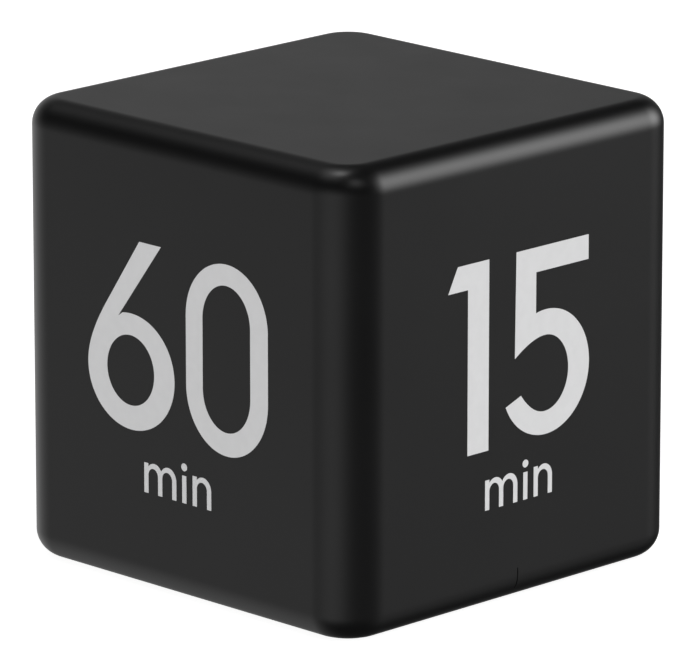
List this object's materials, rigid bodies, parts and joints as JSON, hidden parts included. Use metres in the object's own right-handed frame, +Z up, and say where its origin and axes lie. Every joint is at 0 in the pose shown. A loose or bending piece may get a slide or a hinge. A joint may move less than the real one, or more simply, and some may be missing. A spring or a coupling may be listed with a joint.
{
  "type": "kitchen timer",
  "caption": "Black cube countdown timer: minutes printed on its side faces, turned to start; display, volume switch and hinged battery door underneath.",
  "frame": {"origin": "middle of the face it stands on, at the height of the surface under it", "axes": "+Z up through the blank top; +X out of the face printed 15, -Y out of the face printed 60"},
  "size_m": [0.064, 0.064, 0.064],
  "materials": {
    "case_plastic": "moulded black ABS with a fine satin spark texture",
    "knob_plastic": "moulded dark grey ABS, satin",
    "clear_window": "polished clear acrylic with a black printed border",
    "display_glass": "liquid crystal glass with a polariser, polished",
    "reflector_film": "grey-green reflective polariser film, satin",
    "frame_plastic": "natural white moulded plastic, satin",
    "elastomer": "layered silicone connector, matte",
    "board_laminate": "green solder mask over glass-fibre laminate",
    "epoxy": "black moulding compound, satin",
    "capacitor_sleeve": "shrunk dark blue sleeve, glossy",
    "can_metal": "tinned steel can, satin",
    "steel": "nickel-plated steel, bright",
    "brass": "rolled brass, satin",
    "cell_sleeve": "printed sleeve over a metal can; aluminium's density is the nearest to a cell's average",
    "ceramic": "silvered piezo ceramic, satin",
    "glue": "cured silicone bead",
    "red_wire": "red PVC insulation, satin",
    "black_wire": "black PVC insulation, satin",
    "print_ink": "light grey pad-printed ink, flat"
  },
  "bodies": {
    "case": {"battery_wire_black": "black_wire", "battery_wire_red": "red_wire", "board_screw_1": "steel", "board_screw_2": "steel", "board_screw_3": "steel", "boost_coil": "epoxy", "bottom_cover": "case_plastic", "buzzer_ceramic": "ceramic", "buzzer_disc": "brass", "buzzer_glue": "glue", "buzzer_wire_black": "black_wire", "buzzer_wire_red": "red_wire", "capacitor": "capacitor_sleeve", "case_shell": "case_plastic", "cell_1": "cell_sleeve", "cell_2": "cell_sleeve", "cell_spring_1": "steel", "cell_spring_2": "steel", "contact_link": "steel", "contact_negative": "steel", "contact_positive": "steel", "controller_blob": "epoxy", "cover_screw_1": "steel", "cover_screw_2": "steel", "cover_screw_3": "steel", "cover_screw_4": "steel", "crystal": "can_metal", "display_frame": "frame_plastic", "display_glass_front": "display_glass", "display_glass_rear": "display_glass", "display_reflector": "reflector_film", "display_window": "clear_window", "main_board": "board_laminate", "resistor_1": "epoxy", "resistor_2": "epoxy", "resistor_3": "epoxy", "resistor_4": "epoxy", "sensor_x_case": "epoxy", "sensor_x_contact_1": "brass", "sensor_x_contact_2": "brass", "sensor_x_lid": "epoxy", "sensor_x_strip": "brass", "sensor_y_case": "epoxy", "sensor_y_contact_1": "brass", "sensor_y_contact_2": "brass", "sensor_y_lid": "epoxy", "sensor_y_strip": "brass", "switch_base": "epoxy", "switch_can": "can_metal", "transistor": "epoxy", "zebra_strip": "elastomer"},
    "battery_door": {"battery_door": "case_plastic"},
    "volume_switch": {"switch_knob": "knob_plastic", "switch_lever": "frame_plastic"},
    "tilt_ball_x": {"sensor_x_ball": "steel"},
    "tilt_ball_y": {"sensor_y_ball": "steel"}
  },
  "joints": [
    {"name": "battery_door_hinge", "type": "hinge", "parent": "case", "child": "battery_door", "pos_m": [0, -0.0213, 0.00005], "axis": [-1, 0, 0], "range_deg": [0, 100]},
    {"name": "switch_slide", "type": "slide", "parent": "case", "child": "volume_switch", "axis": [0, 1, 0], "range_m": [0, 0.003]},
    {"name": "ball_x_roll", "type": "slide", "parent": "case", "child": "tilt_ball_x", "axis": [1, 0, 0], "range_m": [-0.002, 0.002]},
    {"name": "ball_y_roll", "type": "slide", "parent": "case", "child": "tilt_ball_y", "axis": [0, 1, 0], "range_m": [-0.002, 0.002]}
  ]
}
